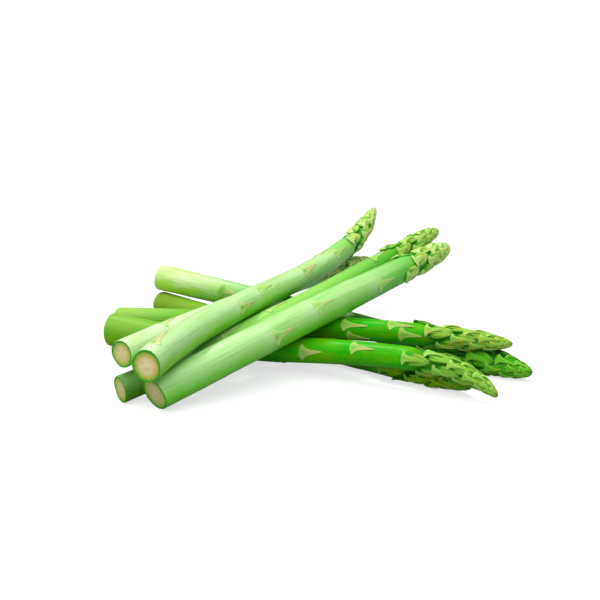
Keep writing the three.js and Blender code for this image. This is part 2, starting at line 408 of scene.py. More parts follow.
class Spear:
    """One spear's centre line, girth and leaves, in millimetres."""

    def __init__(self, spec, leaf):
        self.name = spec["name"]
        self.slot = spec["slot"]
        self.skin_colours = spec["skin"]
        self.wax, self.depth, self.ochre, self.unripe = spec["look"]
        self.points = [Vector(p) for p in spec["axis"]]
        self.radius = spec["radius"]
        self.head, self.swell, self.end, self.fill = spec["head"]
        self.arc = self.measure()
        self.length = self.arc[-1]
        self.neck_at = self.length - self.head
        self.bud_depth = leaf.bud_depth / MM
        self.slant, self.slant_turn = [math.radians(angle) for angle in spec["slant"]]
        self.frames = {}
        self.draw = random.Random(spec["name"])
        self.lobes = [(n, height, self.draw.uniform(0, math.tau)) for n, height in LOBES]
        self.ridge_phase = self.draw.uniform(0, math.tau)
        self.places = self.leaf_places(spec, leaf)
        steps = [self.length * i / ARC_STEPS for i in range(0, ARC_STEPS + 1, 4)]
        self.girths = [(self.frame_at(s)[0], self.outer(s)) for s in steps]

    def measure(self):
        """Length of the centre line up to each of its steps."""
        lengths = [0.0]
        last = self.curve(0)
        for i in range(1, ARC_STEPS + 1):
            point = self.curve(i / ARC_STEPS)
            lengths.append(lengths[-1] + (point - last).length)
            last = point
        return lengths

    def curve(self, t):
        """A point of the centre line, from 0 at the cut end to 1 at the tip."""
        weights = (1, 4, 6, 4, 1)
        total = Vector((0, 0, 0))
        for i, (point, weight) in enumerate(zip(self.points, weights)):
            total += point * (weight * t ** i * (1 - t) ** (4 - i))
        return total

    def frame_at(self, s):
        """Centre, tangent, side and up at a distance along the centre line."""
        key = round(s, 3)
        if key in self.frames:
            return self.frames[key]
        inside = min(max(s, 0.0), self.length)
        low, high = 0, ARC_STEPS
        while high - low > 1:
            middle = (low + high) // 2
            if self.arc[middle] <= inside:
                low = middle
            else:
                high = middle
        part = (inside - self.arc[low]) / (self.arc[high] - self.arc[low])
        t = (low + part) / ARC_STEPS
        ahead, behind = self.curve(min(t + TANGENT_STEP, 1)), self.curve(max(t - TANGENT_STEP, 0))
        tangent = (ahead - behind).normalized()
        side = Vector((tangent.y, -tangent.x, 0)).normalized()
        up = side.cross(tangent)
        self.frames[key] = (self.curve(t) + tangent * (s - inside), tangent, side, up)
        return self.frames[key]

    def outer(self, s):
        """The outer radius, over the buds of the head."""
        butt, middle, neck = self.radius
        if s <= self.neck_at:
            u = s / self.neck_at
            return butt * (1 - u) * (1 - 2 * u) + middle * 4 * u * (1 - u) + neck * u * (2 * u - 1)
        h = min((s - self.neck_at) / self.head, 1)
        girth = neck + self.swell * math.sin(math.pi * h ** SWELL_POWER)
        return girth * (1 - h ** self.end) ** self.fill

    def core(self, s):
        """The radius of the stem, and of the core that the head's buds stand on."""
        h = (s - self.neck_at) / self.head
        wanted = self.outer(s) - self.bud_depth * smooth(h / CORE_SINK)
        return max(wanted, CORE_SHARE * self.outer(s))

    def place(self, s, turn, radius, margin=0.0):
        """A point in metres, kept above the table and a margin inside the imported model's box."""
        centre, _, side, up = self.frame_at(s)
        point = (centre + side * (radius * math.cos(turn)) + up * (radius * math.sin(turn))) * MM
        low, high = CAD_BOX
        edge = margin * MM
        return Vector([min(max(v, a + edge), b - edge) for v, a, b in zip(point, low, high)])

    def skin(self, s, turn, stem):
        """The radius of the skin with its flats, ridges and swollen nodes, and how near a node is."""
        core = self.core(s)
        share = core / self.radius[1]
        lobe = sum(a * math.cos(n * turn + phase + s * LOBE_TWIST * n) for n, a, phase in self.lobes)
        waver = 2 * noise.noise(Vector((s * 0.02, turn, 0)))
        ridge = math.cos(RIDGES * turn + self.ridge_phase + waver)
        worn = noise.noise(Vector((math.cos(turn) * 1.2, math.sin(turn) * 1.2, s * 0.05)))
        swell = 0.0
        for place in self.places:
            before = place["base"] - s
            if place["head"] or not NODE_REACH[0] < before < NODE_REACH[1]:
                continue
            away = (turn - place["turn"] + math.pi) % math.tau - math.pi
            across = math.exp(-(away * core / (NODE_WIDTH * place["half"])) ** 2)
            along = math.exp(-before / NODE_RISE) if before > 0 else math.exp(before / NODE_FALL)
            swell += across * along
        lift = stem.lobe_depth * lobe + stem.ridge_depth * ridge * (1 + worn) + UNEVEN_HEIGHT * MM * worn
        swell = min(swell, NODE_LIMIT)
        return core + share * lift / MM + swell * stem.node_swell / MM, swell

    def leaf_places(self, spec, leaf):
        """Where each leaf stands: those of the stem as listed, and the spiral of the head."""
        start, growth, turn = spec["spiral"]
        places = [(self.length - s, math.radians(a), False) for s, a in spec["leaves"]]
        places = [p for p in places if p[0] > start + SPIRAL_GAP]
        from_tip = start
        facing = math.radians(turn)
        while from_tip > leaf.first_leaf / MM:
            places.append((from_tip, facing, True))
            from_tip /= growth
            facing += GOLDEN_ANGLE
        made = []
        for from_tip, facing, in_head in places:
            base = self.length - from_tip
            wanted = (leaf.head_length if in_head else leaf.stem_length) / MM
            share = leaf.head_share if in_head else leaf.stem_share
            made.append({
                "base": base,
                "turn": facing,
                "head": in_head,
                "from_tip": from_tip,
                "length": min(wanted * self.draw.uniform(*LENGTH_SPREAD), TIP_SHARE * from_tip),
                "half": share * self.outer(base) * self.draw.uniform(*WIDTH_SPREAD),
                "seed": self.draw.random(),
                "dryness": self.draw.uniform(*(HEAD_DRYNESS if in_head else STEM_DRYNESS)),
                "tilt": self.draw.uniform(*TILT_SPREAD),
            })
        return made


def bud_ring(t):
    """A bud's girth along its length as a share: rounded foot, full middle and pointed tip."""
    inside = min(max(t, 0.0), 1.0)
    return 2.24 * math.sqrt(inside * (1 - inside)) * (1 - inside) ** 0.3


class BudShape:
    """The outside of one bud of a head, in millimetres."""

    def __init__(self, spear, place, leaf):
        self.spear = spear
        self.base = place["base"]
        self.length = min(leaf.bud_reach * place["length"], place["from_tip"] - 0.8)
        self.half = leaf.bud_share * place["half"]
        self.rise = leaf.bud_rise / MM

    def seat(self, s):
        """Radius of the bud's middle line, and half of its depth."""
        core = self.spear.core(s)
        top = max(self.spear.outer(s) + 0.35, core + self.rise * min(1, self.spear.outer(s) / 4))
        return mix(core, top, 0.3), 0.7 * (top - core)

    def surface(self, s, across):
        """Radius of the bud's outside at a distance along the spear and across the bud."""
        ring = bud_ring((s - self.base) / self.length)
        middle, depth = self.seat(s)
        if ring < 0.05:
            return self.spear.core(s)
        beside = min(abs(across) / (self.half * ring), 1)
        return max(middle + depth * ring * math.sqrt(1 - beside * beside), self.spear.core(s))


def clearance(point, spear, others):
    """How far a point in millimetres is from the skin of the nearest other spear."""
    nearest = math.inf
    for other in others:
        if other is spear:
            continue
        for centre, radius in other.girths:
            nearest = min(nearest, (centre - point).length - radius)
    return nearest


def all_spears(context):
    leaf = context.scene.asparagus_leaf
    return [Spear(spec, leaf) for spec in SPEARS]


def add_layers(bm, vectors, values):
    """New layers on the corners of a bmesh, first those of vectors and then those of numbers."""
    kinds = bm.verts.layers
    return [kinds.float_vector.new(key) for key in vectors] + [kinds.float.new(key) for key in values]


def join_part(bm, part):
    """Adds one small bmesh to a larger one, with its layers."""
    mesh = bpy.data.meshes.new("part")
    part.to_mesh(mesh)
    part.free()
    bm.from_mesh(mesh)
    bpy.data.meshes.remove(mesh)


def post_at(radius, turn, s):
    """Where a point would stand if its spear were a straight post."""
    return (radius * math.cos(turn), radius * math.sin(turn), s)


def round_off(piece):
    """Rounds a piece with one level of subdivision."""
    rounding = piece.modifiers.new("Rounding", "SUBSURF")
    rounding.levels = 1
    rounding.render_levels = 1


def finish_piece(name, bm, material):
    """Turns a bmesh into a smooth piece that rides with the bundle."""
    mesh = bpy.data.meshes.new(name)
    bm.to_mesh(mesh)
    bm.free()
    mesh.shade_smooth()
    mesh.materials.append(material)
    piece = bpy.data.objects.new(name, mesh)
    bpy.context.scene.collection.objects.link(piece)
    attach(piece, BODY)
    return piece


class Tree:
    """Adds nodes to one node tree, so that a material reads as a list of steps."""

    def __init__(self, tree):
        self.tree = tree

    def add(self, kind, inputs=None, **settings):
        node = self.tree.nodes.new(kind)
        for key, value in settings.items():
            setattr(node, key, value)
        self.fill(node, inputs or {})
        return node

    def fill(self, node, inputs):
        """Links or sets the inputs of a node. A colour is given as three numbers."""
        for key, value in inputs.items():
            socket = node.inputs[key]
            if isinstance(value, bpy.types.NodeSocket):
                self.tree.links.new(value, socket)
            elif socket.type == "RGBA":
                socket.default_value = opaque(value)
            else:
                socket.default_value = value

    def math(self, operation, a, b=0.0, clamp=False):
        node = self.add("ShaderNodeMath", {0: a, 1: b}, operation=operation, use_clamp=clamp)
        return node.outputs[0]

    def times(self, a, b):
        return self.math("MULTIPLY", a, b)

    def plus(self, a, b, clamp=False):
        return self.math("ADD", a, b, clamp)

    def minus(self, a, b):
        return self.math("SUBTRACT", a, b)

    def scaled(self, vector, scale):
        return self.add("ShaderNodeVectorMath", {0: vector, 1: scale}, operation="MULTIPLY").outputs[0]

    def noise(self, vector, detail=2.0, roughness=0.5):
        node = self.add("ShaderNodeTexNoise", {"Vector": vector, "Scale": 1.0, "Detail": detail,
                                               "Roughness": roughness})
        return node.outputs["Fac"]

    def span(self, value, low, high):
        """A smooth step from 0 at low to 1 at high."""
        node = self.add("ShaderNodeMapRange", {"Value": value, "From Min": low, "From Max": high},
                        interpolation_type="SMOOTHSTEP")
        return node.outputs["Result"]

    def blend(self, factor, a, b):
        """Colour a where the factor is 0 and colour b where it is 1."""
        node = self.add("ShaderNodeMix", {"Factor": factor, 6: a, 7: b}, data_type="RGBA")
        return node.outputs[2]

    def split(self, vector):
        """The three parts of a vector."""
        return self.add("ShaderNodeSeparateXYZ", {0: vector}).outputs

    def attribute(self, name):
        """A layer of the mesh."""
        return self.add("ShaderNodeAttribute", attribute_name=name).outputs

    def group(self, node_tree, inputs):
        """An effect group with its inputs, as its outputs."""
        return self.add("ShaderNodeGroup", inputs, node_tree=node_tree).outputs

    def bump(self, height, depth):
        """The normals of a surface whose height is given, for a depth in millimetres."""
        node = self.add("ShaderNodeBump", {"Height": height, "Distance": depth * MM, "Strength": 1.0})
        return node.outputs["Normal"]


def opaque(colour):
    return (*colour, 1.0)


def effect_group(name, vectors, values, outputs, colour=None):
    """A shader node group with its sockets, the Tree that fills it, what it is given as input
    and the node that wants its output."""
    group = bpy.data.node_groups.new(name, "ShaderNodeTree")
    sockets = [(key, "INPUT", "NodeSocketVector") for key in vectors]
    sockets += [(key, "INPUT", "NodeSocketFloat") for key in values]
    sockets += [(key, "OUTPUT", "NodeSocketFloat") for key in outputs]
    if colour:
        sockets.append((colour, "OUTPUT", "NodeSocketColor"))
    for key, way, kind in sockets:
        group.interface.new_socket(name=key, in_out=way, socket_type=kind)
    tree = Tree(group)
    return group, tree, tree.add("NodeGroupInput").outputs, tree.add("NodeGroupOutput")


def grain_group():
    """Lengthwise streaks, soft mottling, fine specks and the height of the skin's fine ridges."""
    name = "Spear grain"
    if name in bpy.data.node_groups:
        return bpy.data.node_groups[name]
    group, tree, given, wanted = effect_group(
        name, ["Post"], [], ["Streaks", "Mottle", "Specks", "Height"])
    post = given["Post"]
    streaks = tree.noise(tree.scaled(post, (0.45, 0.45, 0.03)), 4, 0.6)
    lines = tree.noise(tree.scaled(post, (2.4, 2.4, 0.06)), 2, 0.5)
    mottle = tree.noise(tree.scaled(post, (0.15, 0.15, 0.045)), 5, 0.7)
    specks = tree.noise(tree.scaled(post, (1.5, 1.5, 0.9)), 2, 0.5)
    tree.fill(wanted, {
        "Streaks": tree.span(streaks, 0.25, 0.75),
        "Mottle": tree.span(mottle, 0.35, 0.65),
        "Specks": tree.span(specks, 0.66, 0.74),
        "Height": tree.plus(tree.times(lines, 0.6), tree.times(streaks, 0.5)),
    })
    return group


def bruise_group():
    """A mask of a few brown marks and scrapes, drawn out along the spear."""
    name = "Bruises"
    if name in bpy.data.node_groups:
        return bpy.data.node_groups[name]
    group, tree, given, wanted = effect_group(name, ["Post"], ["Amount"], ["Mask"])
    patches = tree.noise(tree.scaled(given["Post"], (0.28, 0.28, 0.07)), 2, 0.5)
    broken = tree.noise(tree.scaled(given["Post"], (1.4, 1.4, 0.5)), 3, 0.6)
    limit = tree.minus(0.78, tree.times(given["Amount"], 0.2))
    mask = tree.span(tree.minus(patches, limit), 0.0, 0.06)
    tree.fill(wanted, {"Mask": tree.times(mask, tree.span(broken, 0.38, 0.6))})
    return group


def cut_group(colours):
    """The colours and torn texture of a cut end, from the pith out to the skin."""
    name = "Cut end"
    if name in bpy.data.node_groups:
        return bpy.data.node_groups[name]
    group, tree, given, wanted = effect_group(
        name, ["Post"], ["Radius", "Unripe"], ["Height"], colour="Color")
    flat = tree.scaled(given["Post"], (1, 1, 0))
    length = tree.add("ShaderNodeVectorMath", {0: flat}, operation="LENGTH").outputs["Value"]
    uneven = tree.noise(tree.scaled(flat, (0.5, 0.5, 1)), 3)
    waver = tree.times(tree.minus(uneven, 0.5), 0.12)
    share = tree.plus(tree.math("DIVIDE", length, given["Radius"]), waver)
    ramp = tree.add("ShaderNodeValToRGB", {"Fac": share})
    stops = (
        (0.0, colours.pith),
        (0.45, [c * 0.9 for c in colours.pith]),
        (0.7, colours.cut_band),
        (0.82, [c * 0.75 for c in colours.cut_band]),
        (0.88, colours.cut_rim),
    )
    ramp.color_ramp.elements.remove(ramp.color_ramp.elements[1])
    ramp.color_ramp.elements[0].color = opaque(stops[0][1])
    for position, colour in stops[1:]:
        ramp.color_ramp.elements.new(position).color = opaque(colour)
    fibres = {"Vector": tree.scaled(flat, (0.95, 0.95, 1)), "Scale": 1.0}
    strands = tree.add("ShaderNodeTexVoronoi", fibres).outputs
    dots = tree.span(strands["Distance"], 0.32, 0.12)
    inside = tree.span(share, 0.85, 0.75)
    dotted = tree.times(tree.times(dots, inside), 0.3)
    speckled = tree.blend(dotted, ramp.outputs["Color"], colours.strand)
    patches = tree.span(tree.noise(tree.scaled(flat, (0.35, 0.35, 1)), 4, 0.65), 0.46, 0.66)
    stain = tree.times(tree.times(patches, inside), 0.55)
    stained = tree.blend(stain, speckled, colours.stain)
    green = tree.times(tree.times(given["Unripe"], inside), 0.6)
    torn = tree.noise(tree.scaled(flat, (1.6, 1.6, 1)), 4, 0.7)
    tree.fill(wanted, {
        "Color": tree.blend(green, stained, colours.unripe),
        "Height": tree.plus(torn, tree.times(dots, 0.4)),
    })
    return group


def leaf_group():
    """Masks of a scale leaf or a bud: dry point, thin edge, foot, eye and lengthwise veins."""
    name = "Leaf marks"
    if name in bpy.data.node_groups:
        return bpy.data.node_groups[name]
    group, tree, given, wanted = effect_group(
        name, ["Leaf", "Post"], ["Dryness"], ["Point", "Edge", "Veins", "Foot", "Eye", "Seed"])
    along, across, seed = tree.split(given["Leaf"])
    waver = tree.times(tree.noise(tree.scaled(given["Post"], (0.7, 0.7, 0.35)), 3), 0.8)
    reach = tree.plus(tree.plus(along, given["Dryness"]), waver)
    side = tree.math("ABSOLUTE", across)
    above = tree.math("POWER", tree.math("DIVIDE", tree.minus(along, 0.13), 0.09), 2.0)
    beside = tree.math("POWER", tree.math("DIVIDE", side, 0.24), 2.0)
    vein_place = {0: tree.times(across, 4.5), 1: tree.times(along, 0.9), 2: seed}
    tree.fill(wanted, {
        "Point": tree.span(reach, 1.1, 1.65),
        "Edge": tree.span(side, 0.45, 0.95),
        "Foot": tree.span(along, 0.2, 0.0),
        "Eye": tree.span(tree.plus(above, beside), 1.4, 0.5),
        "Veins": tree.noise(tree.add("ShaderNodeCombineXYZ", vein_place).outputs[0], 2, 0.5),
        "Seed": seed,
    })
    return group


def new_material(name):
    """An empty material, its Tree and its Principled shader."""
    material = bpy.data.materials.new(name)
    material.use_nodes = True
    material.node_tree.nodes.clear()
    tree = Tree(material.node_tree)
    shader = tree.add("ShaderNodeBsdfPrincipled")
    tree.add("ShaderNodeOutputMaterial", {"Surface": shader.outputs["BSDF"]})
    return material, tree, shader


def soft(weight):
    """Inputs of a shader that let light go a little way into the flesh."""
    return {"Subsurface Weight": weight, "Subsurface Radius": (0.5, 1.0, 0.2),
            "Subsurface Scale": 1.2 * MM}


def shade_of(low, high, share):
    """A colour between two others."""
    return [mix(a, b, share) for a, b in zip(low, high)]


def skin_material(spear, colours):
    """Waxy skin that changes along the spear: patches of a darker, greener skin, which also lies
    on the underside as painted shade, a yellow-brown flush, pale wax at the nodes and a painted
    sheen on the upper side, bruises, the painted shade of the head's core, and last the cut end."""
    material, tree, shader = new_material(f"{spear.name}_skin")
    post = tree.attribute("post")["Vector"]
    on_cut = tree.span(tree.attribute("cut")["Fac"], 0.1, 0.4)
    node = tree.attribute("node")["Fac"]
    grain = tree.group(grain_group(), {"Post": post})
    _, height, along = tree.split(post)
    butt, middle, neck = spear.skin_colours
    full = spear.length
    skin = tree.blend(tree.span(along, 0, BUTT_END * full), butt, middle)
    skin = tree.blend(tree.span(along, NECK_START * full, NECK_FULL * full), skin, neck)
    # Painted shade: lit runs from the underside to the top of the stem, and the darker, greener skin is
    # laid where it is low, as well as in random patches.
    lit = tree.span(tree.math("DIVIDE", height, spear.radius[1]), -0.5, 0.95)
    shade_green = tree.scaled(skin, (0.55, 0.98, 0.12))
    patches_and_under_shade = tree.plus(tree.times(grain["Mottle"], 0.95),
                       tree.minus(0.5, tree.times(lit, 0.7)), True)
    skin = tree.blend(patches_and_under_shade, skin, shade_green)
    flush = tree.times(grain["Mottle"], 0.2 * (1 - spear.wax))
    skin = tree.blend(flush, skin, colours.ochre)
    # Painted sheen: the wax colour is laid on the upper side, broken by streaks and specks, with real wax
    # at the nodes.
    streaked = tree.plus(0.35, tree.times(grain["Streaks"], 0.45))
    specked = tree.plus(streaked, tree.times(grain["Specks"], 0.2))
    lit_sheen_and_node_wax = tree.plus(tree.times(lit, specked), tree.times(node, 0.5), True)
    stem_wax_and_sheen = tree.times(tree.span(along, full, WAX_AND_SHEEN_THINS * full), 0.85 * spear.wax)
    butt_wax_and_sheen = tree.times(tree.span(along, BUTT_WAX_AND_SHEEN_END * full, 0), 0.15)
    wax_and_sheen = tree.times(lit_sheen_and_node_wax, tree.math("MAXIMUM", stem_wax_and_sheen, butt_wax_and_sheen))
    skin = tree.blend(wax_and_sheen, skin, colours.wax_and_sheen)
    bruises = tree.group(bruise_group(), {"Post": post, "Amount": mix(0.1, 0.6, spear.ochre)})
    skin = tree.blend(tree.times(bruises["Mask"], 0.6), skin, colours.bruise)
    # Painted shade: the head's core between its buds is darkened nearly to black green.
    in_head = tree.span(along, spear.neck_at, spear.neck_at + 0.25 * spear.head)
    crevice_shade = shade_of(colours.shade_green, colours.hollow, spear.depth)
    skin = tree.blend(tree.times(in_head, 0.92), skin, crevice_shade)
    end = tree.group(cut_group(colours), {"Post": post, "Radius": spear.radius[0],
                                          "Unripe": spear.unripe})
    gloss = tree.plus(0.24, tree.times(grain["Streaks"], 0.12))
    skin_height = tree.times(grain["Height"], tree.minus(1.0, on_cut))
    cut_height = tree.times(end["Height"], tree.times(on_cut, 2.5))
    tree.fill(shader, {
        "Base Color": tree.blend(on_cut, skin, end["Color"]),
        "Roughness": tree.plus(gloss, tree.times(on_cut, 0.3)),
        "Specular IOR Level": mix(0.06, 0.5, spear.wax),
        "Normal": tree.bump(tree.plus(skin_height, cut_height), 0.1),
        **soft(0.06),
    })
    return material


def marked_leaf(tree, drawn_out):
    """The marks and the grain of a leaf or a bud, from the attributes of its mesh."""
    post = tree.attribute("post")["Vector"]
    marks = tree.group(leaf_group(), {
        "Leaf": tree.attribute("leaf")["Vector"],
        "Post": post,
        "Dryness": tree.attribute("dryness")["Fac"],
    })
    return marks, tree.group(grain_group(), {"Post": tree.scaled(post, drawn_out)})


def scale_material(spear, colours):
    """Papery scale leaf with a dry point. On the stem it takes some of the skin's colour."""
    material, tree, shader = new_material(f"{spear.name}_scale")
    marks, grain = marked_leaf(tree, (2, 2, 6))
    on_stem = tree.attribute("on_stem")["Fac"]
    head = shade_of(colours.pale_scale, colours.deep_scale, spear.depth)
    flush = tree.times(grain["Mottle"], 0.75 * spear.ochre)
    head_body = tree.blend(flush, head, colours.ochre)
    stem_body = shade_of(spear.skin_colours[1], colours.wax_and_sheen, mix(0.12, 0.4, spear.wax))
    body = tree.blend(tree.times(on_stem, mix(0.25, 0.6, spear.wax)), head_body, stem_body)
    greener = tree.scaled(body, (0.5, 0.85, 0.3))
    body = tree.blend(tree.span(marks["Veins"], 0.35, 0.65), greener, body)
    light = shade_of(colours.pale_scale, colours.wax_and_sheen, 0.4 * spear.wax)
    edge = mix(0.3, 0.15, spear.depth)
    body = tree.blend(tree.times(marks["Edge"], edge), body, light)
    body = tree.blend(tree.times(marks["Foot"], edge), body, light)
    dry = tree.blend(marks["Seed"], colours.dry, colours.blush)
    dry = tree.blend(on_stem, colours.ochre, dry)
    dried = mix(0.6, 0.5, spear.depth)
    colour = tree.blend(tree.times(marks["Point"], dried), body, dry)
    eye = tree.times(tree.times(marks["Eye"], on_stem), mix(0.45, 0.0, spear.depth))
    eye = tree.times(eye, tree.span(marks["Seed"], 0.35, 0.65))
    tree.fill(shader, {
        "Base Color": tree.blend(eye, colour, colours.hollow),
        "Roughness": tree.plus(0.4, tree.times(marks["Point"], 0.2)),
        "Specular IOR Level": mix(0.3, 0.12, spear.depth),
        "Normal": tree.bump(marks["Veins"], 0.2),
        **soft(0.08),
    })
    return material


def bud_material(spear, colours):
    """Plump green bud, ribbed along its length, with painted shade in its grooves, along its edges
    and at its foot, and a paler point.
    """
    material, tree, shader = new_material(f"{spear.name}_bud")
    marks, grain = marked_leaf(tree, (1.8, 1.8, 4))
    green = shade_of(colours.pale_bud, colours.deep_bud, spear.depth)
    crevice_shade = shade_of(colours.shade_green, colours.hollow, spear.depth)
    # Painted shade: the grooves between the bud's ribs are darkened.
    groove_shade = shade_of([c * 0.5 for c in green], crevice_shade, 0.5)
    body = tree.blend(tree.span(marks["Veins"], 0.38, 0.54), groove_shade, green)
    flush = tree.times(grain["Mottle"], 0.8 * spear.ochre)
    body = tree.blend(flush, body, colours.ochre)
    light = shade_of(colours.pale_scale, colours.deep_scale, spear.depth)
    body = tree.blend(tree.times(marks["Point"], mix(0.7, 0.4, spear.depth)), body, light)
    # Painted shade along the bud's edges and at its foot, where it meets the next buds.
    body = tree.blend(tree.span(marks["Edge"], 0.0, 0.55), body, crevice_shade)
    tree.fill(shader, {
        "Base Color": tree.blend(tree.times(marks["Foot"], 0.9), body, crevice_shade),
        "Roughness": 0.42,
        "Specular IOR Level": mix(0.25, 0.1, spear.depth),
        "Normal": tree.bump(marks["Veins"], 0.35),
        **soft(0.08),
    })
    return material


def stem_rings(spear, stem):
    """The stem's profile from the middle of the cut face to the tip: distance along the spear,
    share of the skin's radius, and 1 on the cut face."""
    dish = stem.cut_dish / MM
    edge = stem.cut_edge / MM
    rings = []
    for i in range(1, CUT_RINGS):
        share = i / CUT_RINGS
        rings.append((dish * (1 - share ** 4), share, 1.0))
    rim = 1 - edge / spear.radius[0]
    rings.append((0.0, rim, 0.75))
    rings.append((0.3 * edge, mix(rim, 1, 0.7), 0.25))
    step = stem.ring_step / MM
    stem_end = spear.length - 2 * TIP_GAP
    count = round((stem_end - edge) / step)
    for i in range(count):
        rings.append((mix(edge, stem_end, i / count), 1.0, 0.0))
    return rings


class ASPARAGUS_OT_grow_stems(bpy.types.Operator):
    """Grow the eight stems, each with its cut end and the core of its head"""

    bl_idname = "object.asparagus_grow_stems"
    bl_label = "Grow Stems"
    bl_options = {"REGISTER", "UNDO"}

    def execute(self, context):
        stem = context.scene.asparagus_stem
        colours = context.scene.asparagus_colours
        for spear in all_spears(context):
            bm = self.stem_mesh(spear, stem)
            piece = finish_piece(f"{spear.name}_stem", bm, skin_material(spear, colours))
            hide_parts(spear.name)
        return {"FINISHED"}

    def stem_mesh(self, spear, stem):
        """One stem, drawn ring by ring from its cut end to its tip."""
        bm = bmesh.new()
        post, turn_of, cut, node = add_layers(bm, ["post"], ["turn", "cut", "node"])
        ring = bmesh.ops.create_circle(bm, segments=stem.sides, radius=1)["verts"]
        for vert in ring:
            vert[turn_of] = math.atan2(vert.co.y, vert.co.x)
        loop = list(bm.edges)
        first = ring
        for i, (s, share, on_cut) in enumerate(stem_rings(spear, stem)):
            if i:
                made = bmesh.ops.extrude_edge_only(bm, edges=loop)["geom"]
                ring = [g for g in made if isinstance(g, bmesh.types.BMVert)]
                loop = [g for g in made if isinstance(g, bmesh.types.BMEdge)]
            for vert in ring:
                turn = vert[turn_of]
                full, near_node = spear.skin(max(s, 0.0), turn, stem)
                radius = share * full
                across = radius * math.cos(turn - spear.slant_turn)
                slanted = math.tan(spear.slant) * across * smooth(1 - s / SLANT_REACH)
                torn = 0.0
                if on_cut:
                    spot = Vector(post_at(radius, turn, spear.length))
                    torn = stem.cut_rough / MM * (noise.noise(spot * 1.3) + 0.5 * noise.noise(spot * 0.4))
                vert.co = spear.place(s + slanted + torn * on_cut, turn, radius)
                vert[post] = post_at(radius, turn, s)
                vert[cut] = on_cut
                vert[node] = near_node
        middle = spear.place(stem.cut_dish / MM, 0, 0)
        tip = spear.place(spear.length - TIP_GAP, 0, 0)
        bmesh.ops.pointmerge(bm, verts=first, merge_co=middle)
        bmesh.ops.pointmerge(bm, verts=ring, merge_co=tip)
        bmesh.ops.recalc_face_normals(bm, faces=bm.faces)
        return bm


def pressed(spear, place, others, leaf):
    """True where a leaf would be pressed too far into another spear."""
    for share in (0.0, 0.4, 0.8):
        s = place["base"] + share * place["length"]
        for across in (-0.6, 0, 0.6):
            turn = place["turn"] + across * place["half"] / spear.outer(place["base"])
            point = spear.place(s, turn, spear.outer(s) + PRESSED_LIFT) / MM
            if clearance(point, spear, others) < leaf.neighbour_gap / MM:
                return True
    return False


def leaf_width(t, waist):
    """A leaf's half width as a share: broad base, hollow sides and a long point."""
    inside = min(max(t, 0.0), 1.0)
    return mix(0.1, 1, math.exp(-((inside / 0.16) ** 1.5))) * (1 - waist) + waist * (1 - inside) ** 1.1


class ASPARAGUS_OT_grow_scales(bpy.types.Operator):
    """Grow the scale leaves along every stem and round every head"""

    bl_idname = "object.asparagus_grow_scales"
    bl_label = "Grow Scale Leaves"
    bl_options = {"REGISTER", "UNDO"}

    def execute(self, context):
        leaf = context.scene.asparagus_leaf
        stem = context.scene.asparagus_stem
        colours = context.scene.asparagus_colours
        spears = all_spears(context)
        for spear in spears:
            bm = bmesh.new()
            layers = add_layers(bm, ["post", "leaf"], ["dryness", "on_stem"])
            for place in spear.places:
                if not pressed(spear, place, spears, leaf):
                    self.add_leaf(bm, layers, spear, place, leaf, stem)
            piece = finish_piece(f"{spear.name}_scales", bm, scale_material(spear, colours))
            shell = piece.modifiers.new("Thickness", "SOLIDIFY")
            shell.thickness = leaf.thickness
            shell.offset = 0
            round_off(piece)
        return {"FINISHED"}

    def add_leaf(self, bm, layers, spear, place, leaf, stem):
        """A flat grid, cut to a leaf's outline and laid on the stem or on its bud."""
        post, marks, dryness, on_stem = layers
        sheet = bmesh.ops.create_grid(bm, x_segments=6, y_segments=10, size=1)["verts"]
        waist = mix(*WAISTS, 1 - smooth(place["from_tip"] / WAIST_REACH))
        around = spear.outer(place["base"])
        bud = BudShape(spear, place, leaf)
        for vert in sheet:
            c = vert.co.x
            t = (vert.co.y + 1) / 2
            bowed = BASE_BOW * c * c * (1 - t) ** 3
            s = place["base"] + (t + bowed) / LEAF_TRIM * place["length"]
            across = c * place["half"] * leaf_width(t, waist)
            turn = place["turn"] - across / around + place["tilt"] * t * t
            radius = self.leaf_radius(spear, place, bud, s, turn, across, t, c, leaf, stem)
            vert.co = spear.place(s, turn, radius, 0.5 * leaf.thickness / MM)
            vert[post] = post_at(radius, turn, s)
            vert[marks] = (t, c, place["seed"])
            vert[dryness] = place["dryness"]
            vert[on_stem] = 0.0 if place["head"] else 1.0

    def leaf_radius(self, spear, place, bud, s, turn, across, t, c, leaf, stem):
        """How far from the centre line a point of the leaf is."""
        horn = leaf.horn_lift / MM * abs(c) ** 3 * math.exp(-((t / HORN_REACH) ** 2))
        if place["head"]:
            small = min(1, place["from_tip"] / SMALL_REACH)
            rolled = BASE_RISE * (1 - smooth(t / BASE_REACH))
            return bud.surface(s, across) + LEAF_LIFT + small * (horn + rolled)
        skin = spear.skin(s, turn, stem)[0]
        length, width = EYE_SIZE
        eye = EYE_HEIGHT * math.exp(-(((t - EYE_PLACE) / length) ** 2) - (c / width) ** 2)
        curl = max(place["seed"] - 0.5, 0) * smooth((t - 0.6) / 0.4)
        return skin + leaf.stem_rise / MM + STEM_HORN * horn + eye + curl


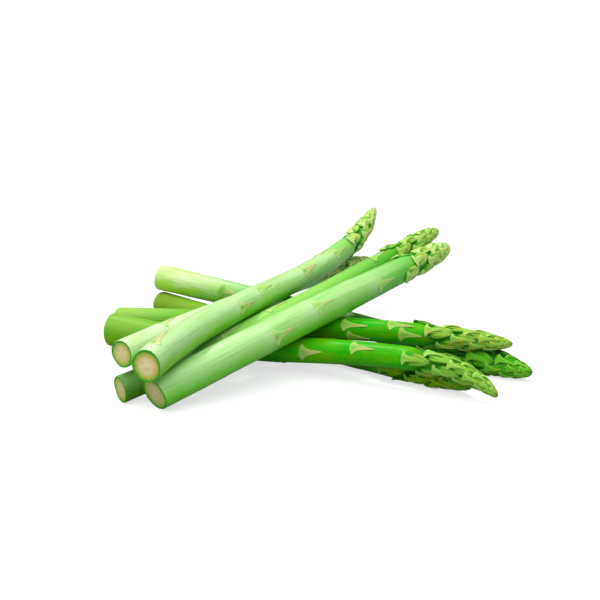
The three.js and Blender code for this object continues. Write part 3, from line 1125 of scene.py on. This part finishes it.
class ASPARAGUS_OT_grow_buds(bpy.types.Operator):
    """Grow the plump buds that stand behind the scale leaves of every head"""

    bl_idname = "object.asparagus_grow_buds"
    bl_label = "Grow Buds"
    bl_options = {"REGISTER", "UNDO"}

    def execute(self, context):
        leaf = context.scene.asparagus_leaf
        colours = context.scene.asparagus_colours
        spears = all_spears(context)
        for spear in spears:
            bm = bmesh.new()
            for place in spear.places:
                budded = place["head"] and place["from_tip"] > BUD_TIP_GAP
                if budded and not pressed(spear, place, spears, leaf):
                    self.add_bud(bm, spear, place, leaf)
            bmesh.ops.recalc_face_normals(bm, faces=bm.faces)
            piece = finish_piece(f"{spear.name}_buds", bm, bud_material(spear, colours))
            round_off(piece)
        return {"FINISHED"}

    def add_bud(self, bm, spear, place, leaf):
        """The petals of one bud: the middle one, and one at each side that starts further on."""
        bud = BudShape(spear, place, leaf)
        draw = random.Random(place["seed"])
        for side in (0, -1, 1):
            petal = {
                "start": bud.base + abs(side) * draw.uniform(*SIDE_START) * bud.length,
                "length": bud.length * (draw.uniform(*SIDE_LENGTH) if side else 1.0),
                "turn": side * draw.uniform(*SIDE_TURN) * bud.half,
                "half": bud.half * (SIDE_WIDTH if side else MIDDLE_WIDTH),
                "sink": PETAL_SINK * draw.uniform(*SIDE_SINK) if side else 0.0,
                "seed": draw.random(),
            }
            petal["length"] = min(petal["length"], spear.length - TIP_GAP - petal["start"])
            if petal["length"] > LEAST_PETAL:
                join_part(bm, self.petal_mesh(spear, place, bud, petal))

    def petal_mesh(self, spear, place, bud, petal):
        """A ball drawn out to a petal's outline and bent round the head."""
        part = bmesh.new()
        post, marks, dryness = add_layers(part, ["post", "leaf"], ["dryness"])
        ball = bmesh.ops.create_uvsphere(part, u_segments=10, v_segments=8, radius=1)["verts"]
        around = spear.outer(place["base"])
        for vert in ball:
            x, y, z = vert.co
            t = (z + 1) / 2
            girth = math.hypot(x, y)
            c = x / girth if girth > 0.01 else 0.0
            s = petal["start"] + t * petal["length"]
            middle, depth = bud.seat(s)
            ring = bud_ring(t)
            across = petal["turn"] * (1 - 0.6 * t * t) + c * ring * petal["half"]
            turn = place["turn"] - across / around + place["tilt"] * t * t
            bulge = y / girth * ring * depth if girth > 0.01 else 0.0
            tucked = PETAL_TUCK * depth * smooth((t - 0.75) / 0.25) + petal["sink"] * depth
            radius = max(middle + bulge - tucked, 0.2)
            vert.co = spear.place(s, turn, radius, 0.01)
            vert[post] = post_at(radius, turn, s)
            vert[marks] = (t, c, petal["seed"])
            vert[dryness] = PETAL_DRYNESS
        return part


class ASPARAGUS_OT_set_stage(bpy.types.Operator):
    """Set the pale floor, the soft lights and the camera"""

    bl_idname = "object.asparagus_set_stage"
    bl_label = "Set Stage"
    bl_options = {"REGISTER", "UNDO"}

    def execute(self, context):
        stage = context.scene.asparagus_stage
        self.add_floor(context, stage)
        self.add_lights(context, stage)
        self.add_camera(context, stage)
        context.scene.view_settings.view_transform = "Standard"
        return {"FINISHED"}

    def add_floor(self, context, stage):
        bm = bmesh.new()
        bmesh.ops.create_grid(bm, x_segments=1, y_segments=1, size=stage.floor_size / 2)
        mesh = bpy.data.meshes.new("floor")
        bm.to_mesh(mesh)
        bm.free()
        floor = bpy.data.objects.new("floor", mesh)
        context.scene.collection.objects.link(floor)
        material, tree, shader = new_material("floor_paper")
        seen = tree.add("ShaderNodeLightPath").outputs["Is Camera Ray"]
        tree.fill(shader, {
            "Base Color": context.scene.asparagus_colours.floor,
            "Roughness": 0.8,
            "Specular IOR Level": 0.1,
            "Emission Color": (1, 1, 1),
            "Emission Strength": tree.times(seen, stage.table_glow),
        })
        mesh.materials.append(material)

    def add_lights(self, context, stage):
        world = bpy.data.worlds.new("studio")
        world.use_nodes = True
        sky = world.node_tree.nodes["Background"]
        sky.inputs["Color"].default_value = (1, 1, 1, 1)
        sky.inputs["Strength"].default_value = stage.sky
        context.scene.world = world
        self.add_lamp(context, "key", KEY_TOWARDS, stage.key_spread, stage.key)
        self.add_lamp(context, "strip", STRIP_TOWARDS, stage.strip_spread, stage.strip)

    def add_lamp(self, context, name, towards, spread, strength):
        lamp = bpy.data.lights.new(name, "SUN")
        lamp.angle = spread
        lamp.energy = strength
        holder = bpy.data.objects.new(name, lamp)
        holder.rotation_euler = Vector(towards).to_track_quat("Z", "Y").to_euler()
        context.scene.collection.objects.link(holder)

    def add_camera(self, context, stage):
        data = bpy.data.cameras.new("camera")
        data.sensor_width = 36
        data.lens = stage.lens
        data.clip_start = 0.01
        camera = bpy.data.objects.new("camera", data)
        back = Vector((0, -math.cos(stage.elevation), math.sin(stage.elevation)))
        camera.location = Vector(stage.target) + back * stage.distance
        camera.rotation_euler = (-back).to_track_quat("-Z", "Y").to_euler()
        context.scene.collection.objects.link(camera)
        context.scene.camera = camera


class ASPARAGUS_PT_bundle(bpy.types.Panel):
    """Sidebar panel that lists the steps and their sizes"""

    bl_idname = "ASPARAGUS_PT_bundle"
    bl_label = "Asparagus Bundle"
    bl_space_type = "VIEW_3D"
    bl_region_type = "UI"
    bl_category = "Asparagus"

    def draw(self, context):
        for step in STEPS:
            self.layout.operator(step.bl_idname)
        for name, settings in SETTINGS.items():
            box = self.layout.box()
            for key in settings.__annotations__:
                box.prop(getattr(context.scene, name), key)


SETTINGS = {
    "asparagus_stem": StemSettings,
    "asparagus_leaf": LeafSettings,
    "asparagus_colours": ColourSettings,
    "asparagus_stage": StageSettings,
}
STEPS = (
    ASPARAGUS_OT_grow_stems,
    ASPARAGUS_OT_grow_buds,
    ASPARAGUS_OT_grow_scales,
    ASPARAGUS_OT_set_stage,
)


def register():
    for name, settings in SETTINGS.items():
        bpy.utils.register_class(settings)
        setattr(bpy.types.Scene, name, PointerProperty(type=settings))
    for step in STEPS:
        bpy.utils.register_class(step)
    bpy.utils.register_class(ASPARAGUS_PT_bundle)


def unregister():
    bpy.utils.unregister_class(ASPARAGUS_PT_bundle)
    for step in reversed(STEPS):
        bpy.utils.unregister_class(step)
    for name, settings in reversed(SETTINGS.items()):
        delattr(bpy.types.Scene, name)
        bpy.utils.unregister_class(settings)


def main():
    register()
    bpy.ops.object.asparagus_grow_stems()
    bpy.ops.object.asparagus_grow_buds()
    bpy.ops.object.asparagus_grow_scales()
    bpy.ops.object.asparagus_set_stage()


if __name__ == "__main__":
    main()
